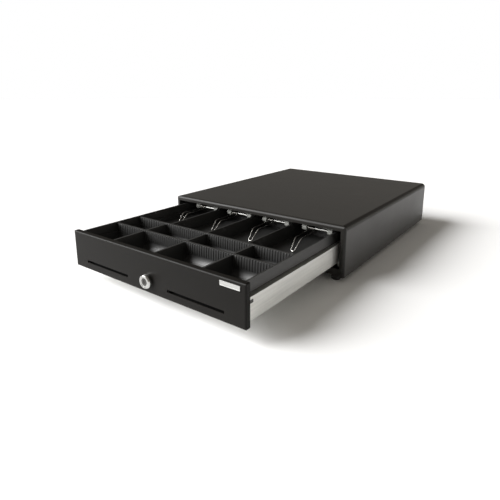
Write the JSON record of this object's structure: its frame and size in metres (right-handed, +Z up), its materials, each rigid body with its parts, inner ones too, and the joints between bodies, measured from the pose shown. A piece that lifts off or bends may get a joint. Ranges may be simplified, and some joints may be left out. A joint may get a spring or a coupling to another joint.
{
  "type": "cash drawer",
  "caption": "Low steel cash drawer, open: housing on feet, sliding drawer with cam lock and media slots, black tray with coin cups, note compartments and sprung clips.",
  "frame": {"origin": "on the surface it stands on, under the centre of its box with the drawer open", "axes": "+Y from the drawer's front to the housing's back, +Z up, +X to the right as seen from the front"},
  "size_m": [0.35, 0.637, 0.09],
  "materials": {
    "housing_paint": "fine-textured powder coat, dark grey",
    "zinc_steel": "zinc-coated sheet, satin",
    "plain_steel": "satin",
    "chrome": "polished",
    "black_plastic": "fine-grained moulding",
    "grey_plastic": "satin moulding",
    "white_plastic": "satin moulding",
    "coil_winding": "enamelled copper wire",
    "rubber": "matt"
  },
  "bodies": {
    "housing": {"housing_shell": "housing_paint", "base_plate": "housing_paint", "rear_panel": "housing_paint", "interface_socket": "black_plastic", "rear_screw_1": "plain_steel", "rear_screw_2": "plain_steel", "rear_screw_3": "plain_steel", "rear_screw_4": "plain_steel", "foot_front_left": "rubber", "foot_front_right": "rubber", "foot_rear_left": "rubber", "foot_rear_right": "rubber", "cabinet_runner_left": "zinc_steel", "cabinet_runner_right": "zinc_steel", "latch_bridge": "zinc_steel", "latch_pivot": "plain_steel", "latch_spring": "plain_steel", "solenoid_frame": "plain_steel", "solenoid_coil": "coil_winding", "ejector_guide": "black_plastic", "ejector_spring": "plain_steel", "sensor_switch": "black_plastic"},
    "drawer": {"drawer_front": "housing_paint", "drawer_pan": "zinc_steel", "label_plate": "white_plastic", "strike_bracket": "plain_steel", "pan_plug_left": "black_plastic", "pan_plug_right": "black_plastic", "lock_body": "chrome", "lock_nut": "plain_steel", "cash_tray": "black_plastic", "coin_divider_1": "black_plastic", "coin_divider_2": "black_plastic", "coin_divider_3": "black_plastic", "coin_divider_4": "black_plastic", "coin_divider_5": "black_plastic", "coin_divider_6": "black_plastic", "clip_bracket_1": "grey_plastic", "clip_bracket_2": "grey_plastic", "clip_bracket_3": "grey_plastic", "clip_bracket_4": "grey_plastic", "clip_axle_1": "plain_steel", "clip_axle_2": "plain_steel", "clip_axle_3": "plain_steel", "clip_axle_4": "plain_steel"},
    "lock": {"lock_plug": "chrome", "lock_cam": "plain_steel", "cam_screw": "plain_steel"},
    "latch": {"latch_lever": "plain_steel"},
    "plunger": {"solenoid_plunger": "plain_steel"},
    "pusher": {"ejector_pusher": "white_plastic"},
    "leaf": {"switch_leaf": "plain_steel"},
    "clip_1": {"note_clip_1": "chrome"},
    "clip_2": {"note_clip_2": "chrome"},
    "clip_3": {"note_clip_3": "chrome"},
    "clip_4": {"note_clip_4": "chrome"},
    "cabinet_roller_left": {"cabinet_roller_left": "white_plastic"},
    "cabinet_roller_right": {"cabinet_roller_right": "white_plastic"},
    "drawer_roller_left": {"drawer_roller_left": "white_plastic"},
    "drawer_roller_right": {"drawer_roller_right": "white_plastic"}
  },
  "joints": [
    {"name": "drawer_slide", "type": "slide", "parent": "housing", "child": "drawer", "axis": [0, -1, 0], "range_m": [-0.225, 0]},
    {"name": "clip_hinge_1", "type": "hinge", "parent": "drawer", "child": "clip_1", "pos_m": [-0.117, -0.0615, 0.07], "axis": [-1, 0, 0], "range_deg": [0, 16], "stiffness_Nm_per_rad": 0.03, "springref_deg": -20.05},
    {"name": "clip_hinge_2", "type": "hinge", "parent": "drawer", "child": "clip_2", "pos_m": [-0.039, -0.0615, 0.07], "axis": [-1, 0, 0], "range_deg": [0, 16], "stiffness_Nm_per_rad": 0.03, "springref_deg": -20.05},
    {"name": "clip_hinge_3", "type": "hinge", "parent": "drawer", "child": "clip_3", "pos_m": [0.039, -0.0615, 0.07], "axis": [-1, 0, 0], "range_deg": [0, 16], "stiffness_Nm_per_rad": 0.03, "springref_deg": -20.05},
    {"name": "clip_hinge_4", "type": "hinge", "parent": "drawer", "child": "clip_4", "pos_m": [0.117, -0.0615, 0.07], "axis": [-1, 0, 0], "range_deg": [0, 16], "stiffness_Nm_per_rad": 0.03, "springref_deg": -20.05},
    {"name": "lock_turn", "type": "hinge", "parent": "drawer", "child": "lock", "pos_m": [0.0016, -0.3115, 0.0403], "axis": [0, -1, 0], "range_deg": [-90, 0]},
    {"name": "solenoid_pull", "type": "slide", "parent": "housing", "child": "plunger", "axis": [-1, 0, 0], "range_m": [0, 0.003], "stiffness_N_per_m": 150, "springref_m": -0.004, "deforming": ["latch_spring"]},
    {"name": "latch_turn", "type": "hinge", "parent": "housing", "child": "latch", "pos_m": [0.012, 0.2755, 0.047], "axis": [0, 0, 1], "range_deg": [0, 10]},
    {"name": "ejector_push", "type": "slide", "parent": "housing", "child": "pusher", "axis": [0, -1, 0], "range_m": [-0.0251, 0], "deforming": ["ejector_spring"]},
    {"name": "leaf_turn", "type": "hinge", "parent": "housing", "child": "leaf", "pos_m": [-0.0985, 0.2395, 0.044], "axis": [0, 0, 1], "range_deg": [0, 17]},
    {"name": "cabinet_roller_left_spin", "type": "hinge", "parent": "housing", "child": "cabinet_roller_left", "pos_m": [-0.16135, -0.0645, 0.0232], "axis": [1, 0, 0], "range_deg": [-2160, 10]},
    {"name": "drawer_roller_left_spin", "type": "hinge", "parent": "drawer", "child": "drawer_roller_left", "pos_m": [-0.1675, -0.0015, 0.0342], "axis": [1, 0, 0], "range_deg": [-1850, 10]},
    {"name": "cabinet_roller_right_spin", "type": "hinge", "parent": "housing", "child": "cabinet_roller_right", "pos_m": [0.16135, -0.0645, 0.0232], "axis": [1, 0, 0], "range_deg": [-2160, 10]},
    {"name": "drawer_roller_right_spin", "type": "hinge", "parent": "drawer", "child": "drawer_roller_right", "pos_m": [0.1675, -0.0015, 0.0342], "axis": [1, 0, 0], "range_deg": [-1850, 10]}
  ],
  "couplings": [
    {"joint": "latch_turn", "follows": "solenoid_pull", "rad_per_m": 50},
    {"joint": "ejector_push", "follows": "drawer_slide", "ratio": 0.11111},
    {"joint": "leaf_turn", "follows": "drawer_slide", "rad_per_m": -1.2411},
    {"joint": "cabinet_roller_left_spin", "follows": "drawer_slide", "rad_per_m": 166.67},
    {"joint": "drawer_roller_left_spin", "follows": "drawer_slide", "rad_per_m": 142.86},
    {"joint": "cabinet_roller_right_spin", "follows": "drawer_slide", "rad_per_m": 166.67},
    {"joint": "drawer_roller_right_spin", "follows": "drawer_slide", "rad_per_m": 142.86}
  ]
}
